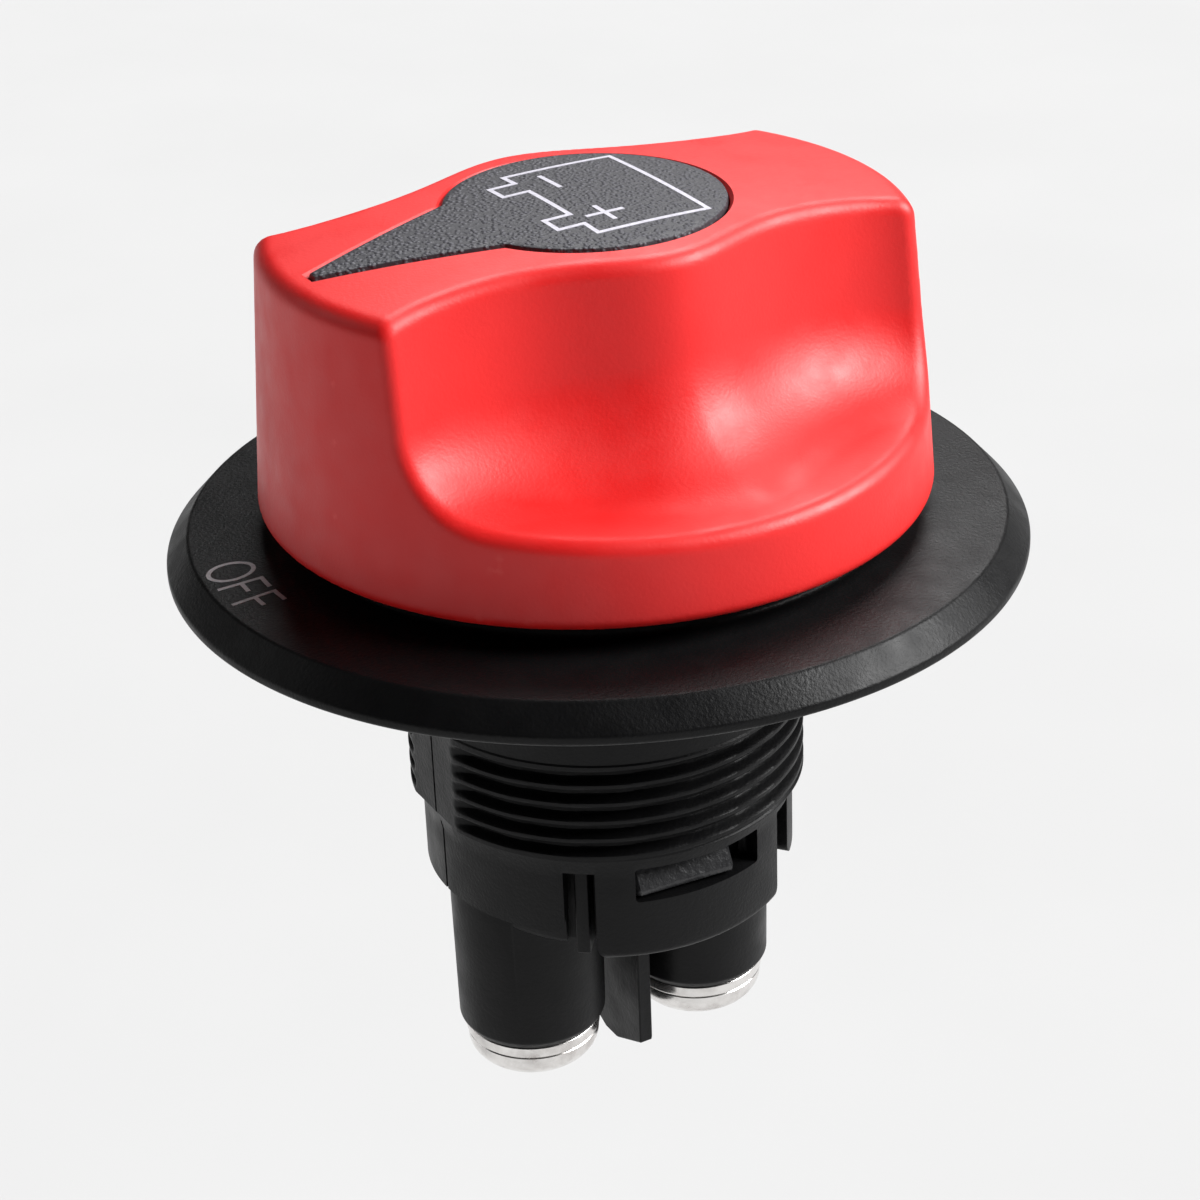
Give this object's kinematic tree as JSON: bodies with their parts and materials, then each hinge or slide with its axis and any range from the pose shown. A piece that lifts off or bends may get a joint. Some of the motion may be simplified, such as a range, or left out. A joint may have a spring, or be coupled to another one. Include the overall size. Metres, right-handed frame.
{
  "type": "battery switch",
  "caption": "Panel-mounted rotary battery isolator with a winged knob over a round flange, a threaded neck and rear screw terminals.",
  "frame": {"origin": "on the knob's axis, in the plane of the flange gasket's underside, where the panel's front face lies", "axes": "+Z along the knob's axis, out of the panel; -X is where the pointer points at OFF, and the terminals lie on the X axis behind the panel"},
  "size_m": [0.072, 0.072, 0.0809],
  "materials": {
    "housing_plastic": "matte moulded black plastic with a fine grain",
    "base_plastic": "matte moulded black plastic",
    "knob_plastic": "satin moulded red plastic with a fine grain",
    "insert_plastic": "grained dark grey plastic with a pale printed battery symbol",
    "inner_plastic": "natural ivory plastic",
    "seal_rubber": "black rubber",
    "nickel_plate": "bright nickel plate",
    "spring_steel": "drawn spring wire",
    "post_brass": "turned brass",
    "bridge_copper": "copper bar",
    "contact_silver": "silver alloy contact"
  },
  "bodies": {
    "housing": {"housing": "housing_plastic", "flange_gasket": "seal_rubber", "terminal_base": "base_plastic", "return_spring": "spring_steel", "fixed_contact_a": "contact_silver", "fixed_contact_b": "contact_silver", "terminal_post_a": "post_brass", "terminal_post_b": "post_brass"},
    "knob": {"knob": "knob_plastic", "knob_insert": "insert_plastic", "knob_screw": "nickel_plate", "drive_shaft": "inner_plastic", "shaft_seal": "seal_rubber"},
    "contact_carriage": {"contact_carriage": "inner_plastic", "contact_spring": "spring_steel", "contact_bridge": "bridge_copper", "moving_contact_a": "contact_silver", "moving_contact_b": "contact_silver"},
    "terminal_washer_a": {"terminal_washer_a": "nickel_plate"},
    "terminal_screw_a": {"terminal_screw_a": "nickel_plate"},
    "terminal_washer_b": {"terminal_washer_b": "nickel_plate"},
    "terminal_screw_b": {"terminal_screw_b": "nickel_plate"}
  },
  "joints": [
    {"name": "knob_turn", "type": "hinge", "parent": "housing", "child": "knob", "pos_m": [0, 0, 0], "axis": [0, 0, 1], "range_deg": [-90, 0]},
    {"name": "carriage_slide", "type": "slide", "parent": "housing", "child": "contact_carriage", "axis": [0, 0, -1], "range_m": [0, 0.005], "deforming": ["return_spring"]},
    {"name": "washer_a_slide", "type": "slide", "parent": "housing", "child": "terminal_washer_a", "axis": [0, 0, -1], "range_m": [0, 0.005]},
    {"name": "screw_a_turn", "type": "hinge", "parent": "terminal_washer_a", "child": "terminal_screw_a", "pos_m": [-0.0086, 0, -0.0465], "axis": [0, 0, -1], "range_deg": [0, 1800]},
    {"name": "washer_b_slide", "type": "slide", "parent": "housing", "child": "terminal_washer_b", "axis": [0, 0, -1], "range_m": [0, 0.005]},
    {"name": "screw_b_turn", "type": "hinge", "parent": "terminal_washer_b", "child": "terminal_screw_b", "pos_m": [0.0086, 0, -0.0465], "axis": [0, 0, -1], "range_deg": [0, 1800]}
  ],
  "couplings": [
    {"joint": "carriage_slide", "follows": "knob_turn", "m_per_rad": -0.003183},
    {"joint": "screw_a_turn", "follows": "washer_a_slide", "rad_per_m": 6283.2},
    {"joint": "screw_b_turn", "follows": "washer_b_slide", "rad_per_m": 6283.2}
  ]
}
